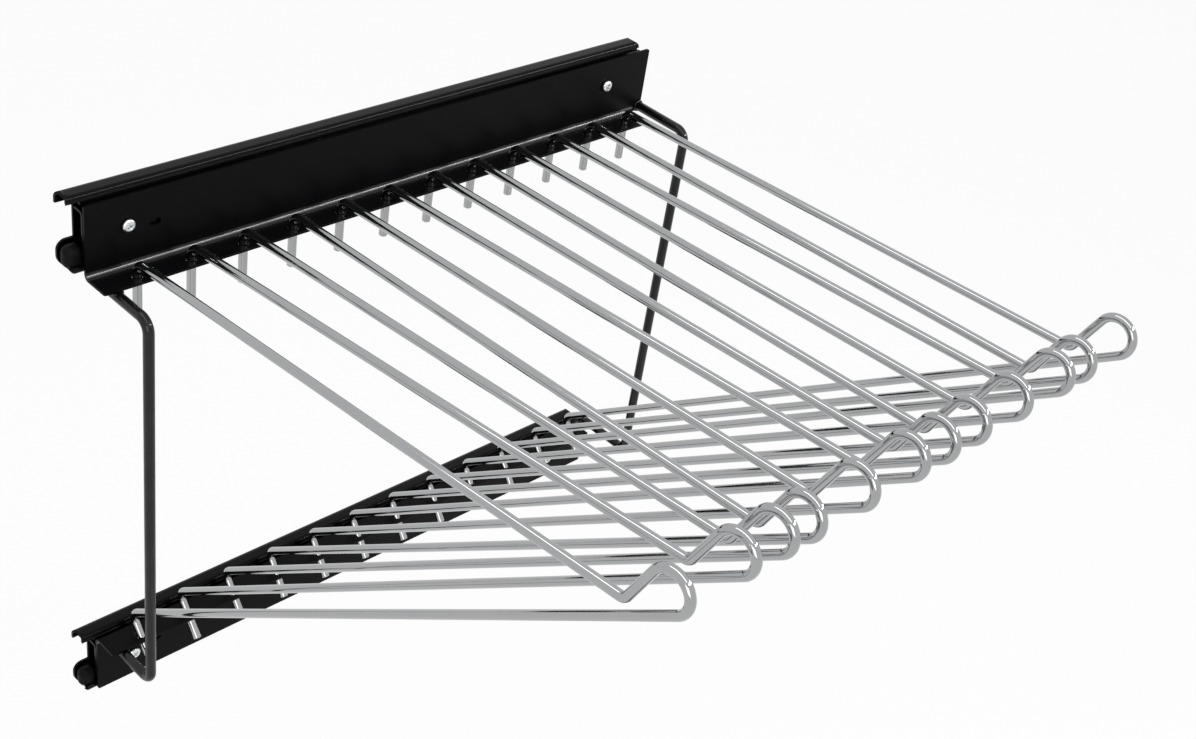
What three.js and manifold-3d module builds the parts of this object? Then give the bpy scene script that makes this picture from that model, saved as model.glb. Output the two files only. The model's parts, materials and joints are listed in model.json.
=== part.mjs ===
// Pull-out trouser rack that is screwed to the side panel of a wardrobe.
// Twelve swivelling wire hangers hang in two folded carriers, which two bent rods join,
// and the carriers ride out on two full-extension ball rails.
// Millimetres. +X points out of the side panel, +Y the way the rack pulls out, +Z up.
// The origin is the centre of the upper rail's back face, on the side panel.
import * as THREE from "three";
import { mergeVertices } from "three/addons/utils/BufferGeometryUtils.js";
import Module from "manifold-3d";

const wasm = await Module();
wasm.setup();

// Whole rack
const carrierLength = 400;
const flangeDrop = 247.5; // from the top of the upper flange to the top of the lower one
const upperRailRise = 24; // the middle of the upper rail above the upper flange
const lowerRailDrop = 20; // the middle of the lower rail below the lower flange
const rearSetback = 8; // how far the rails stand out behind the carriers

// Gaps
const seatGap = 0.3; // between faces that rest on each other
const runningGap = 0.35; // between rail members that slide
const cageGap = 0.25; // beside a ball cage
const overrun = 2; // how far a cutting tool passes the face that it cuts

// Ball rails
const railHeight = 45;
const railDepth = 12.7;
const railSheet = 1.5;
const lipBend = 2.25;
const webBend = 4.25;
const innerRailBend = 1.6;
const railEndRound = 3;
const hookHeight = 3.8;
const ballDiameter = 2.6;
const ballGap = 0.3;
const cageSheet = 0.6;
const outerCageBend = 2;
const cageLength = 176;
const cageArmSpare = 1.2;
const ballsPerRow = 6;
const ballEndMargin = 8;
const railScrewHole = 4.6;
const railScrewFromFront = 37;
const railScrewPitch = 128;
const railAccessHole = 9;
const notchDepth = 14;
const notchLow = 7;
const notchHigh = 15;
const notchRound = 5;

// Rear buffers
const bufferHeight = 13;
const bufferRound = 5;
const bufferEdge = 3.4;

// Folded carriers
const carrierSheet = 1.5;
const plateHeight = 41;
const flangeWidth = 17;
const carrierBend = 2.75;
const flangeCutback = 14;
const hangerHoleInset = 11;
const hangerRearMargin = 22.3;
const hangerFrontMargin = 25.7;
const hangerHoleGap = 0.4;
const slotLength = 6.5;
const slotWidth = 3.6;
const slotFromScrew = 16;
const slotDrop = 3;

// Carrier screws
const screwShank = 4;
const screwHeadDiameter = 7.4;
const screwHeadHeight = 2.4;
const screwHeadCrown = 0.9;
const screwTail = 2.2;
const screwHoleGap = 0.35;
const screwRise = 24; // from each flange
const screwRearInset = 24;
const screwFrontInset = 36;
const recessLength = 4.2;
const recessWidth = 1;
const recessDepth = 1.2;

// Joining rods
const rodDiameter = 6;
const rodReach = 43;
const rodBend = 9;
const rodRearInset = 8.4;
const rodFrontInset = 2.5;
const rodFrontRise = 2.7; // the front rod's legs beyond the two flanges

// Wire hangers
const wireDiameter = 5;
const pinBend = 6.5;
const pinCornerRise = 8.1;
const pinLength = 24;
const dipReach = 336;
const dipRise = 26.2;
const dipBend = 4.5;
const eyeRadius = 10.3;
const strutBend = 6;
const strutRise = 10.6;
const tailDrop = 13.4;
const kickDegrees = 64;
const strutDegrees = 36.4;
// How far each hanger stands swung towards the front, from the rear one on, in degrees
const hangerSwings = [1.7, 2.9, 1.6, -0.6, 0.1, 0.9, -0.5, -1.6, -1.2, -0.4, -2.2, -1.2];

// Fineness of round forms, in facets
const wireSides = 8;
const rodSides = 10;
const holeSides = 12;
const smallHoleSides = 8;
const headSides = 14;
const ballSides = 6;
const ballBands = 4;
const bendSteps = 4;
const foldSteps = 3;
const eyeSteps = 9;
const weldTolerance = 1e-3;

// Places worked out from the sizes above
const hangerCount = hangerSwings.length;
const hangerPitch = (carrierLength - hangerRearMargin - hangerFrontMargin) / (hangerCount - 1);
const railLength = carrierLength;
const railRear = -railLength / 2;
const railFront = railLength / 2;
const carrierRear = railRear + rearSetback;
const carrierFront = carrierRear + carrierLength;
const plateBack = railDepth + seatGap;
const plateFront = plateBack + carrierSheet;
const upperFlangeTop = -upperRailRise;
const lowerFlangeTop = upperFlangeTop - flangeDrop;
const lowerRailZ = lowerFlangeTop - lowerRailDrop;
const firstHangerY = carrierRear + hangerRearMargin;
const screwPlaces = { rear: carrierRear + screwRearInset, front: carrierFront - screwFrontInset };
const hangerHoleX = plateFront + hangerHoleInset;
const wireRadius = wireDiameter / 2;
const rodRadius = rodDiameter / 2;
const ballRadius = ballDiameter / 2;
const ballSpace = ballDiameter + 2 * ballGap;

// Heights of the rail members' faces above the middle of the rail
const outerInside = railHeight / 2 - railSheet;
const hookBottom = railHeight / 2 - hookHeight;
const middleTop = outerInside - ballSpace;
const middleInside = middleTop - railSheet;
const innerTop = middleInside - ballSpace;

// Depths of the rail members' faces from the side panel
const outerCageBack = railSheet + cageGap;
const middleBack = outerCageBack + cageSheet + runningGap;
const innerCageBack = middleBack + railSheet + cageGap;
const innerBack = innerCageBack + cageSheet + seatGap;
const innerBallX = innerCageBack + cageSheet + ballGap + ballRadius + cageGap;
const innerCageFront = innerBallX + ballRadius + 2 * cageGap;
const outerBallX = innerBallX - railSheet / 2;
const outerCageFront = outerBallX + ballRadius + cageArmSpare;

const materials = {
  blackPaint: new THREE.MeshStandardMaterial({ color: 0x0c0c0d, roughness: 0.32, metalness: 0.2 }),
  chrome: new THREE.MeshStandardMaterial({ color: 0xc9ccd0, roughness: 0.1, metalness: 1 }),
  zinc: new THREE.MeshStandardMaterial({ color: 0xc4c3bd, roughness: 0.3, metalness: 1 }),
  steel: new THREE.MeshStandardMaterial({ color: 0x9a9c9f, roughness: 0.25, metalness: 1 }),
  rubber: new THREE.MeshStandardMaterial({ color: 0x08080a, roughness: 0.75, metalness: 0 }),
};

const rack = new THREE.Group();

function named(name, geometry, material) {
  const mesh = new THREE.Mesh(geometry, material);
  mesh.name = name;
  return mesh;
}

function solidOf(geometry) {
  const bare = geometry.clone();
  bare.deleteAttribute("normal");
  bare.deleteAttribute("uv");
  const merged = mergeVertices(bare, weldTolerance);
  const vertProperties = merged.attributes.position.array;
  const triVerts = new Uint32Array(merged.index.array);
  return new wasm.Manifold(new wasm.Mesh({ numProp: 3, vertProperties, triVerts }));
}

function geometryOf(solid) {
  const { vertProperties, triVerts } = solid.getMesh();
  const geometry = new THREE.BufferGeometry();
  geometry.setAttribute("position", new THREE.BufferAttribute(vertProperties, 3));
  geometry.setIndex(new THREE.BufferAttribute(triVerts, 1));
  geometry.computeVertexNormals();
  return geometry;
}

function cut(geometry, tools) {
  return geometryOf(tools.reduce((solid, tool) => solid.subtract(solidOf(tool)), solidOf(geometry)));
}

function kept(geometry, envelope) {
  return geometryOf(solidOf(geometry).intersect(solidOf(envelope)));
}

function join(geometries) {
  return geometryOf(geometries.map(solidOf).reduce((all, solid) => all.add(solid)));
}

// A point and its direction at each station of a path with rounded corners
function roundedPath(points, radii, steps) {
  const stations = [];
  const add = (point, direction) => stations.push({ point, direction: direction.clone() });
  const heading = (from, to) => new THREE.Vector2().subVectors(to, from).normalize();
  add(points[0], heading(points[0], points[1]));
  for (let i = 1; i < points.length - 1; i += 1) {
    const incoming = heading(points[i - 1], points[i]);
    const outgoing = heading(points[i], points[i + 1]);
    const turn = Math.atan2(incoming.cross(outgoing), incoming.dot(outgoing));
    const setback = radii[i - 1] * Math.tan(Math.abs(turn) / 2);
    const start = points[i].clone().addScaledVector(incoming, -setback);
    const inward = new THREE.Vector2(-incoming.y, incoming.x).multiplyScalar(Math.sign(turn));
    const centre = start.clone().addScaledVector(inward, radii[i - 1]);
    for (let step = 0; step <= steps; step += 1) {
      const angle = (turn * step) / steps;
      add(start.clone().rotateAround(centre, angle), incoming.clone().rotateAround(new THREE.Vector2(), angle));
    }
  }
  const last = points.length - 1;
  add(points[last], heading(points[last - 1], points[last]));
  return stations;
}

// The outline of a strip of sheet that is folded along a path
function foldedSection(points, radii, thickness) {
  const stations = roundedPath(points, radii, foldSteps);
  const side = (sign) =>
    stations.map(({ point, direction }) =>
      new THREE.Vector2(-direction.y, direction.x).multiplyScalar((sign * thickness) / 2).add(point),
    );
  return new THREE.Shape([...side(-1), ...side(1).reverse()]);
}

const plainEnds = { bevelEnabled: false, curveSegments: bendSteps };

// A section drawn in X and Z that runs along Y from one end to the other
function alongY(section, from, to) {
  const geometry = new THREE.ExtrudeGeometry(section, { depth: to - from, ...plainEnds });
  const turned = new THREE.Matrix4().makeBasis(
    new THREE.Vector3(1, 0, 0),
    new THREE.Vector3(0, 0, 1),
    new THREE.Vector3(0, -1, 0),
  );
  return geometry.applyMatrix4(turned).translate(0, to, 0);
}

// A section drawn in Y and Z that runs along X from one end to the other
function alongX(section, from, to) {
  const geometry = new THREE.ExtrudeGeometry(section, { depth: to - from, ...plainEnds });
  const turned = new THREE.Matrix4().makeBasis(
    new THREE.Vector3(0, 1, 0),
    new THREE.Vector3(0, 0, 1),
    new THREE.Vector3(1, 0, 0),
  );
  return geometry.applyMatrix4(turned).translate(from, 0, 0);
}

// A rectangle with rounded corners, by its two lowest and two highest values
function roundedBox(left, bottom, right, top, round) {
  const shape = new THREE.Shape();
  shape.absarc(left + round, bottom + round, round, Math.PI, (3 * Math.PI) / 2, false);
  shape.absarc(right - round, bottom + round, round, -Math.PI / 2, 0, false);
  shape.absarc(right - round, top - round, round, 0, Math.PI / 2, false);
  shape.absarc(left + round, top - round, round, Math.PI / 2, Math.PI, false);
  return shape;
}

// The corner radius of a faceted hole whose flats stand at the hole's own radius
function roundedOut(radius, sides) {
  return radius / Math.cos(Math.PI / sides);
}

function drillX(diameter, from, to, y, z, sides) {
  const radius = roundedOut(diameter / 2, sides);
  const drill = new THREE.CylinderGeometry(radius, radius, to - from, sides);
  return drill.rotateZ(Math.PI / 2).translate((from + to) / 2, y, z);
}

function drillZ(diameter, x, y, from, to, sides) {
  const radius = roundedOut(diameter / 2, sides);
  const drill = new THREE.CylinderGeometry(radius, radius, to - from, sides);
  return drill.rotateX(Math.PI / 2).translate(x, y, (from + to) / 2);
}

// A slot along Y with round ends, cut through along X
function slotX(length, width, from, to, y, z) {
  const reach = (length - width) / 2;
  const shape = new THREE.Shape();
  shape.absarc(y + reach, z, width / 2, -Math.PI / 2, Math.PI / 2, false);
  shape.absarc(y - reach, z, width / 2, Math.PI / 2, (3 * Math.PI) / 2, false);
  return alongX(shape, from, to);
}

// The stations of a bent wire as a curve that a round section can follow
class BentWire extends THREE.Curve {
  constructor(stations) {
    super();
    this.points = stations.map(({ point }) => new THREE.Vector3(point.x, 0, point.y));
    this.directions = stations.map(({ direction }) => new THREE.Vector3(direction.x, 0, direction.y));
  }

  station(list, share) {
    return list[Math.round(share * (list.length - 1))].clone();
  }

  getPointAt(share) {
    return this.station(this.points, share);
  }

  getTangentAt(share) {
    return this.station(this.directions, share);
  }
}

function bentWire(stations, radius, sides) {
  const section = new THREE.Shape();
  for (let side = 0; side < sides; side += 1) {
    const angle = (2 * Math.PI * (side + 1 / 2)) / sides;
    const corner = new THREE.Vector2(radius * Math.cos(angle), radius * Math.sin(angle));
    if (side) section.lineTo(corner.x, corner.y);
    else section.moveTo(corner.x, corner.y);
  }
  const path = new BentWire(stations);
  return new THREE.ExtrudeGeometry(section, { steps: stations.length - 1, extrudePath: path });
}

// Ball rails

// Both halves of a rail member: the upper half's points, and the same mirrored below
function railSection(upperHalf, bends, thickness) {
  const corners = upperHalf.map(([x, z]) => new THREE.Vector2(x, z));
  const lowerHalf = upperHalf.map(([x, z]) => new THREE.Vector2(x, -z)).reverse();
  return foldedSection([...corners, ...lowerHalf], [...bends, ...bends.toReversed()], thickness);
}

function railScrewPlaces() {
  const front = railFront - railScrewFromFront;
  return [front, front - railScrewPitch, front - 2 * railScrewPitch];
}

function outerRail() {
  const half = railSheet / 2;
  const section = railSection(
    [
      [railDepth - half, hookBottom],
      [railDepth - half, railHeight / 2 - half],
      [half, railHeight / 2 - half],
    ],
    [lipBend, webBend],
    railSheet,
  );
  const outline = roundedBox(railRear, -railHeight / 2, railFront, railHeight / 2, railEndRound);
  const rail = kept(alongY(section, railRear, railFront), alongX(outline, -overrun, railDepth + overrun));
  const holes = railScrewPlaces().map((y) =>
    drillX(railScrewHole, -overrun, railSheet + overrun, y, 0, holeSides),
  );
  return cut(rail, [...holes, webNotch()]);
}

// The rounded notch that sets the web back behind the two raceways at the rear end
function webNotch() {
  const shape = new THREE.Shape();
  const end = railRear + notchDepth;
  shape.moveTo(railRear - overrun, -notchLow);
  shape.lineTo(end - notchRound, -notchLow);
  shape.absarc(end - notchRound, notchRound - notchLow, notchRound, -Math.PI / 2, 0, false);
  shape.absarc(end - notchRound, notchHigh - notchRound, notchRound, 0, Math.PI / 2, false);
  shape.lineTo(railRear - overrun, notchHigh);
  return alongX(shape, -overrun, railSheet + overrun);
}

function middleRail() {
  const half = railSheet / 2;
  const section = railSection(
    [
      [railDepth - railSheet, middleTop - half],
      [middleBack + half, middleTop - half],
    ],
    [innerRailBend],
    railSheet,
  );
  const holes = railScrewPlaces().map((y) =>
    drillX(railAccessHole, middleBack - overrun, middleBack + railSheet + overrun, y, 0, smallHoleSides),
  );
  return cut(alongY(section, carrierRear, railFront), holes);
}

function innerRail(screwZ) {
  const half = railSheet / 2;
  const section = railSection(
    [
      [innerBack, innerTop - half],
      [railDepth - half, innerTop - half],
    ],
    [innerRailBend],
    railSheet,
  );
  const through = [railDepth - railSheet - overrun, railDepth + overrun];
  const holes = Object.values(screwPlaces).map((y) =>
    drillX(screwShank + 2 * screwHoleGap, ...through, y, screwZ, holeSides),
  );
  return cut(alongY(section, carrierRear, carrierFront), holes);
}

function ballPlaces() {
  const first = -cageLength / 2 + ballEndMargin;
  const pitch = (cageLength - 2 * ballEndMargin) / (ballsPerRow - 1);
  return Array.from({ length: ballsPerRow }, (unused, i) => first + i * pitch);
}

// A strip folded round a rail member, with a row of balls held in each arm
function ballCage(back, front, ballX, ballHeight, bend) {
  const half = cageSheet / 2;
  const section = railSection(
    [
      [front, ballHeight],
      [back + half, ballHeight],
    ],
    [bend],
    cageSheet,
  );
  const balls = ballPlaces().flatMap((y) =>
    [ballHeight, -ballHeight].map((z) =>
      new THREE.SphereGeometry(ballRadius, ballSides, ballBands).translate(ballX, y, z),
    ),
  );
  return join([alongY(section, -cageLength / 2, cageLength / 2), ...balls]);
}

// The rubber block that the closed rail members stop against, in the lower raceway
function rearBuffer() {
  const [rear, front] = [railRear, carrierRear - seatGap];
  const [back, out] = [railSheet + seatGap, railDepth - railSheet - seatGap];
  const bottom = seatGap - outerInside;
  const top = bottom + bufferHeight;
  const side = roundedBox(rear, bottom, front + bufferRound, top, bufferRound);
  const raceway = roundedBox(back, bottom, out, top + bufferEdge, bufferEdge);
  return kept(alongX(side, back, out), alongY(raceway, rear, front));
}

function addRail(level, height, screwZ) {
  const parts = [
    named(`outer_rail_${level}`, outerRail(), materials.blackPaint),
    named(`rear_buffer_${level}`, rearBuffer(), materials.rubber),
    named(`middle_rail_${level}`, middleRail(), materials.blackPaint),
    named(`inner_rail_${level}`, innerRail(screwZ), materials.blackPaint),
  ];
  const rows = [
    ["outer", outerCageBack, outerCageFront, outerBallX, middleTop + ballSpace / 2, outerCageBend],
    ["inner", innerCageBack, innerCageFront, innerBallX, innerTop + ballSpace / 2, cageSheet],
  ];
  for (const [side, ...places] of rows) {
    parts.push(named(`${side}_ball_cage_${level}`, ballCage(...places), materials.steel));
  }
  const rail = new THREE.Group();
  rail.position.z = height;
  rail.add(...parts);
  rack.add(rail);
}

// Folded carriers

// A carrier stands with its plate up from the flange, or hangs with its plate down
function carrier(upward, flangeTop, holeDiameter) {
  const half = carrierSheet / 2;
  const flangeLine = flangeTop - half;
  const plateEnd = flangeTop + upward * plateHeight;
  const section = foldedSection(
    [
      new THREE.Vector2(plateBack + half, plateEnd),
      new THREE.Vector2(plateBack + half, flangeLine),
      new THREE.Vector2(plateFront + flangeWidth, flangeLine),
    ],
    [carrierBend],
    carrierSheet,
  );
  const screwZ = flangeTop + upward * screwRise;
  const through = [plateBack - overrun, plateFront + overrun];
  const screwHoles = Object.values(screwPlaces).map((y) =>
    drillX(screwShank + 2 * screwHoleGap, ...through, y, screwZ, holeSides),
  );
  const slotY = screwPlaces.rear + slotFromScrew;
  const slot = slotX(slotLength, slotWidth, ...through, slotY, screwZ - upward * slotDrop);
  const hangerHoles = hangerPlaces().map((y) =>
    drillZ(holeDiameter, hangerHoleX, y, flangeTop - carrierSheet - overrun, flangeTop + overrun, holeSides),
  );
  const clearance = new THREE.BoxGeometry(flangeWidth + overrun, flangeCutback + overrun, 2 * carrierBend);
  clearance.translate(
    plateFront + (flangeWidth + overrun) / 2,
    carrierFront - flangeCutback / 2 + overrun / 2,
    flangeLine,
  );
  return cut(alongY(section, carrierRear, carrierFront), [...screwHoles, slot, ...hangerHoles, clearance]);
}

function hangerPlaces() {
  return Array.from({ length: hangerCount }, (unused, i) => firstHangerY + i * hangerPitch);
}

function upperHangerHole() {
  return wireDiameter + 2 * hangerHoleGap;
}

// The lower hole lets the slanting tail of a hanger through
function lowerHangerHole() {
  const slant = THREE.MathUtils.degToRad(strutDegrees);
  const reach = wireRadius / Math.cos(slant) + (carrierSheet / 2) * Math.tan(slant);
  return 2 * (reach + hangerHoleGap);
}

// A pan-head machine screw along X, with a cross recess in its head
function carrierScrew() {
  const tip = railDepth - railSheet - screwTail;
  const headBase = plateFront + seatGap;
  const headTop = headBase + screwHeadHeight;
  const head = screwHeadDiameter / 2;
  const profile = [
    new THREE.Vector2(0, tip),
    new THREE.Vector2(screwShank / 2, tip),
    new THREE.Vector2(screwShank / 2, headBase),
    new THREE.Vector2(head, headBase),
    new THREE.Vector2(head, headTop - screwHeadCrown),
    new THREE.Vector2(head - screwHeadCrown / 3, headTop - screwHeadCrown / 3),
    new THREE.Vector2(head - screwHeadCrown, headTop),
    new THREE.Vector2(0, headTop),
  ];
  const blank = new THREE.LatheGeometry(profile, headSides).rotateZ(-Math.PI / 2);
  const depth = recessDepth + overrun;
  const arms = [
    new THREE.BoxGeometry(depth, recessLength, recessWidth),
    new THREE.BoxGeometry(depth, recessWidth, recessLength),
  ];
  const middle = headTop - recessDepth + depth / 2;
  return cut(
    blank,
    arms.map((arm) => arm.translate(middle, 0, 0)),
  );
}

function addCarriers() {
  const levels = [
    ["upper", 1, upperFlangeTop, upperHangerHole()],
    ["lower", -1, lowerFlangeTop, lowerHangerHole()],
  ];
  for (const [level, upward, flangeTop, hole] of levels) {
    rack.add(named(`carrier_${level}`, carrier(upward, flangeTop, hole), materials.blackPaint));
    for (const [end, y] of Object.entries(screwPlaces)) {
      const screw = named(`carrier_screw_${level}_${end}`, carrierScrew(), materials.zinc);
      screw.position.set(0, y, flangeTop + upward * screwRise);
      rack.add(screw);
    }
  }
}

// Joining rods, whose legs run back to the two plates and are welded there

function joiningRod(start, upperLeg, lowerLeg) {
  const reach = plateFront + rodReach;
  const corners = [
    new THREE.Vector2(start, upperLeg),
    new THREE.Vector2(reach, upperLeg),
    new THREE.Vector2(reach, lowerLeg),
    new THREE.Vector2(start, lowerLeg),
  ];
  return bentWire(roundedPath(corners, [rodBend, rodBend], bendSteps), rodRadius, rodSides);
}

// The rear rod lies under both flanges, the front one where both flanges are cut back
function addRods() {
  const under = carrierSheet + seatGap + rodRadius;
  const rearStart = plateFront + carrierBend;
  const frontStart = plateFront + seatGap;
  const rear = joiningRod(rearStart, upperFlangeTop - under, lowerFlangeTop - under);
  const front = joiningRod(frontStart, upperFlangeTop + rodFrontRise, lowerFlangeTop - rodFrontRise);
  rear.translate(0, carrierRear + rodRearInset, 0);
  front.translate(0, carrierFront - rodFrontInset, 0);
  rack.add(named("joining_rod_rear", rear, materials.blackPaint));
  rack.add(named("joining_rod_front", front, materials.blackPaint));
}

// Wire hangers, drawn in their own plane with the swivel axis at X 0 and the upper flange at Z 0

// The corner of strut and tail: the tail leaves the strut squarely, through the lower hole
function strutCorner() {
  const slant = THREE.MathUtils.degToRad(strutDegrees);
  return new THREE.Vector2(-(strutRise + carrierSheet / 2) * Math.tan(slant), strutRise - flangeDrop);
}

function tailEnd() {
  const slant = THREE.MathUtils.degToRad(strutDegrees);
  return new THREE.Vector2((tailDrop - carrierSheet / 2) * Math.tan(slant), -flangeDrop - tailDrop);
}

// The round eye at the tip touches the line of the kick-up and the line of the strut
function eyeStations(dip) {
  const kick = THREE.MathUtils.degToRad(kickDegrees);
  const slant = THREE.MathUtils.degToRad(strutDegrees);
  const kickLine = new THREE.Vector2(Math.cos(kick), Math.sin(kick));
  const fromKick = new THREE.Vector2(Math.sin(kick), -Math.cos(kick));
  const fromStrut = new THREE.Vector2(-Math.sin(slant), Math.cos(slant));
  const offset = new THREE.Vector2().subVectors(dip, strutCorner()).dot(fromStrut);
  const climb = (eyeRadius * (1 - fromKick.dot(fromStrut)) - offset) / kickLine.dot(fromStrut);
  const centre = dip.clone().addScaledVector(kickLine, climb).addScaledVector(fromKick, eyeRadius);
  const turn = -(Math.PI + kick - slant);
  const first = fromKick.clone().negate();
  return Array.from({ length: eyeSteps + 1 }, (unused, step) => {
    const angle = (turn * step) / eyeSteps;
    const spoke = first.clone().rotateAround(new THREE.Vector2(), angle);
    const point = centre.clone().addScaledVector(spoke, eyeRadius);
    return { point, direction: kickLine.clone().rotateAround(new THREE.Vector2(), angle) };
  });
}

function hangerWire() {
  const dip = new THREE.Vector2(dipReach, dipRise);
  const eye = eyeStations(dip);
  const pinEnd = new THREE.Vector2(0, -pinLength);
  const pinCorner = new THREE.Vector2(0, pinCornerRise);
  const head = roundedPath([pinEnd, pinCorner, dip, eye[0].point], [pinBend, dipBend], bendSteps);
  const foot = roundedPath([eye[eyeSteps].point, strutCorner(), tailEnd()], [strutBend], bendSteps);
  const stations = [...head.slice(0, -1), ...eye, ...foot.slice(1)];
  return bentWire(stations, wireRadius, wireSides);
}

function addHangers() {
  const wire = hangerWire();
  hangerPlaces().forEach((y, i) => {
    const hanger = named(`hanger_${String(i + 1).padStart(2, "0")}`, wire.clone(), materials.chrome);
    hanger.position.set(hangerHoleX, y, upperFlangeTop);
    hanger.rotation.z = THREE.MathUtils.degToRad(hangerSwings[i]);
    rack.add(hanger);
  });
}

addRail("upper", 0, upperFlangeTop + screwRise);
addRail("lower", lowerRailZ, lowerFlangeTop - screwRise - lowerRailZ);
addCarriers();
addRods();
addHangers();

export default rack;
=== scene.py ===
import json
import math

import bmesh
import bpy
from bpy.props import FloatProperty, FloatVectorProperty, IntProperty, PointerProperty
from mathutils import Matrix, Vector


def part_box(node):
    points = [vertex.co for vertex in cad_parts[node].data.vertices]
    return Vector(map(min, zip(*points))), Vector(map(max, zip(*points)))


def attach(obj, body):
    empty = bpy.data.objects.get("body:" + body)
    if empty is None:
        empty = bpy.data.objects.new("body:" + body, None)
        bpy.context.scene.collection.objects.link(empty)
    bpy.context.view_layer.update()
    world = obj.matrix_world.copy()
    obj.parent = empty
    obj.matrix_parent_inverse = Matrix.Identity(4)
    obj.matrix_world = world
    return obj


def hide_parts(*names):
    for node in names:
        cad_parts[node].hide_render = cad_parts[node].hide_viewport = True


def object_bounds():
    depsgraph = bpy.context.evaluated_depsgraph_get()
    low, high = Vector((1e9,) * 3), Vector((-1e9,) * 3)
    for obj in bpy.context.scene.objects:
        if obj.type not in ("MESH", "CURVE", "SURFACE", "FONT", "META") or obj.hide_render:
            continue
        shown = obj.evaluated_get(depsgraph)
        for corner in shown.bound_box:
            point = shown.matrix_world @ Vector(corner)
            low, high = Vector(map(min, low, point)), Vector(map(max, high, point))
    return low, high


bl_info = {
    "name": "Pull-out Trouser Rack",
    "version": (1, 0, 0),
    "blender": (4, 5, 0),
    "location": "View3D > Sidebar > Trouser Rack",
    "description": "Makes the wires, sheet metal, rails, screws and studio of a pull-out trouser rack",
    "category": "Add Mesh",
}

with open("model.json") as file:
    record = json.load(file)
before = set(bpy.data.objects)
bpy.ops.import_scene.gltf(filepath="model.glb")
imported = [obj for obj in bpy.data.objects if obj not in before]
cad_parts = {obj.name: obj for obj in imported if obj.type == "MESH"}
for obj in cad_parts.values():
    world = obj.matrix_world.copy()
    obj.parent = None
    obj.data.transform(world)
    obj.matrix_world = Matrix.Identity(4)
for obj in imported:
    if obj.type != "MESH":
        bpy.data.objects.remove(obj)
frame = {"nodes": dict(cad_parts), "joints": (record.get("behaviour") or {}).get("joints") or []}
SOLIDS_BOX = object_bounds()

MILLIMETRE = 0.001
CLOSE = MILLIMETRE / 10
ALONG = Vector((0, 1, 0))
TOWARDS_X = (0, math.pi / 2, 0)
LEVELS = {"upper": 1, "lower": -1}
CORNER_TURN = math.radians(80)
SOFTENED_TURN = math.radians(40)
BEND_STEP = math.radians(7)
FACING = 0.99
ROUND_STEPS = 8
FIRST_STUB_SHARE = 0.1
TIP_REACH_SHARE = 0.95
DRILL_DEPTH_SHARE = 4
SEEN_RAYS = ("Is Camera Ray", "Is Glossy Ray", "Is Transmission Ray")


# Settings

def length(name, description, millimetres):
    return FloatProperty(
        name=name, description=description, default=millimetres * MILLIMETRE, unit="LENGTH", precision=5
    )


def angle(name, description, degrees):
    return FloatProperty(name=name, description=description, default=math.radians(degrees), subtype="ANGLE")


def count(name, description, number):
    return IntProperty(name=name, description=description, default=number, min=1)


def factor(name, description, value):
    return FloatProperty(name=name, description=description, default=value, min=0, precision=3)


def colour(name, description, red, green, blue):
    return FloatVectorProperty(
        name=name, description=description, default=(red, green, blue), subtype="COLOR", min=0, max=1
    )


class RackWireSettings(bpy.types.PropertyGroup):
    """The chromed wire hangers"""

    wire: length("Wire", "Diameter of a hanger's wire", 5)
    sides: count("Sides", "Facets round the wire", 20)
    pin: length("Pin", "How far the pin reaches below the upper flange", 24)
    corner_rise: length("Corner Rise", "Height of the corner of pin and bar over the upper flange", 8.1)
    corner_bend: length("Corner Bend", "Bend radius where the pin turns into the bar", 6.5)
    dip_reach: length("Dip Reach", "From the pin to the dip near the tip", 336)
    dip_rise: length("Dip Rise", "Height of the dip over the upper flange", 26.2)
    dip_bend: length("Dip Bend", "Bend radius of the dip", 4.5)
    kick: angle("Kick", "Steepness of the kick-up behind the dip", 64)
    eye: length("Eye", "Radius of the round eye at the tip", 10.3)
    strut: angle("Strut", "Steepness of the long strut", 36.4)
    foot_rise: length("Foot Rise", "Height of the strut's lower corner over the lower flange", 10.6)
    foot_bend: length("Foot Bend", "Bend radius of the strut's lower corner", 6)
    tail: length("Tail", "How far the tail reaches below the lower flange", 13.4)
    end_round: length("End Round", "Chamfer of the cut ends", 0.5)


class RackSheetSettings(bpy.types.PropertyGroup):
    """The folded carriers"""

    sheet: length("Sheet", "Thickness of the sheet", 1.5)
    fold: length("Fold", "Radius of the fold, at the middle of the sheet", 2.75)
    plate: length("Plate", "Height of the plate over the flange", 41)
    pin_hole: length("Pin Hole", "Diameter of the upper hanger holes", 5.8)
    tail_hole: length("Tail Hole", "Diameter of the lower hanger holes", 8.1)
    screw_hole: length("Screw Hole", "Diameter of the screw holes", 4.7)
    slot_length: length("Slot Length", "Length of the short slot beside the rear screw", 6.5)
    slot_width: length("Slot Width", "Width of the short slot", 3.6)
    slot_shift: length("Slot Shift", "From the rear screw to the slot", 16)
    slot_drop: length("Slot Drop", "From the screws' height to the slot's, towards the flange", 3)
    cutback: length("Cutback", "How far the flange is cut back at the front end", 14)
    corner: length("Corner", "Rounding of the sheet's corners", 1.2)
    edge: length("Edge", "Rounding of the sheet's cut edges", 0.22)


class RackScrewSettings(bpy.types.PropertyGroup):
    """The pan-head screws that hold the carriers"""

    shank: length("Shank", "Diameter of the threads", 4)
    thread: length("Thread", "Pitch of the threads", 0.7)
    head: length("Head", "Diameter of the head", 7.4)
    head_height: length("Head Height", "Height of the head", 2.4)
    rim: length("Rim", "Rounding of the head's lower edge", 0.25)
    crown: length("Crown", "Height of the head's rounded part", 1.3)
    dome: length("Dome", "How far the rounded part reaches in from the head's edge", 2)
    recess_length: length("Recess Length", "Span of the cross recess", 4.4)
    recess_width: length("Recess Width", "Width of the wings of the recess", 1)
    recess_depth: length("Recess Depth", "Depth of the cross recess", 1.4)
    sides: count("Sides", "Facets round a screw", 40)
    edge: length("Edge", "Rounding of the recess's edges", 0.08)


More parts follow.
